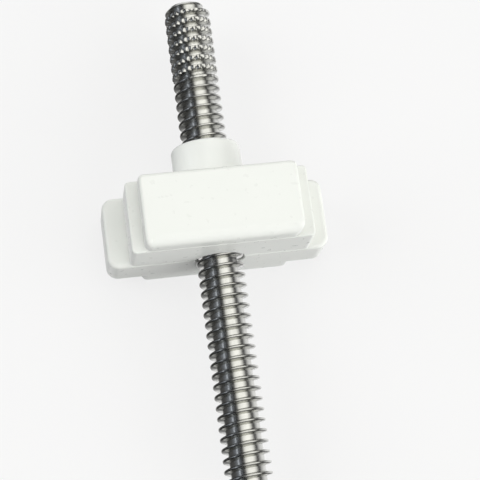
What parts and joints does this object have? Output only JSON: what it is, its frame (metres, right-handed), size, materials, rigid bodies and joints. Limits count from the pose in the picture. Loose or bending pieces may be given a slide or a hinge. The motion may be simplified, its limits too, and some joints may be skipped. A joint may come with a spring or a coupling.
{
  "type": "lead screw drive",
  "caption": "Compact worm gearbox in a stepped white moulded case with side ears, whose turning nut travels along a deep-threaded lead screw with a serrated fixing end",
  "frame": {"origin": "middle of the rear pad's face, straight below the lead screw's axis", "axes": "+Y along the lead screw towards its serrated fixing end, +Z out of the case's front face, +X towards the drive input"},
  "size_m": [0.0428, 0.0995, 0.0256],
  "materials": {
    "case_plastic": "satin white moulded plastic",
    "nut_plastic": "satin white acetal",
    "screw_steel": "bright rolled steel",
    "steel": "ground steel",
    "bronze": "sintered bronze",
    "rubber": "matt black rubber"
  },
  "bodies": {
    "gearbox": {"front_cover": "case_plastic", "centre_housing": "case_plastic", "rear_mount": "case_plastic", "upper_nut_bush": "bronze", "lower_nut_bush": "bronze", "upper_thrust_washer": "steel", "lower_thrust_washer": "steel", "worm_bush_left": "bronze", "worm_bush_right": "bronze", "worm_washer_left": "steel", "worm_washer_right": "steel", "worm_end_plug": "steel", "shaft_seal": "rubber", "case_screw_1": "steel", "case_screw_2": "steel", "case_screw_3": "steel", "case_screw_4": "steel", "dowel_left": "steel", "dowel_right": "steel"},
    "worm": {"worm_shaft": "steel"},
    "nut": {"drive_nut": "nut_plastic"},
    "screw": {"lead_screw": "screw_steel"}
  },
  "joints": [
    {"name": "screw_travel", "type": "slide", "parent": "gearbox", "child": "screw", "axis": [0, 1, 0], "range_m": [-0.012, 0.04]},
    {"name": "nut_spin", "type": "hinge", "parent": "gearbox", "child": "nut", "pos_m": [0, 0, 0.0105], "axis": [0, 1, 0], "range_deg": [-7200, 2160]},
    {"name": "worm_spin", "type": "hinge", "parent": "gearbox", "child": "worm", "pos_m": [0, 0, 0.0187], "axis": [1, 0, 0], "range_deg": [-25920, 86400]}
  ],
  "couplings": [
    {"joint": "nut_spin", "follows": "screw_travel", "rad_per_m": -3141.6},
    {"joint": "worm_spin", "follows": "screw_travel", "rad_per_m": 37699}
  ]
}
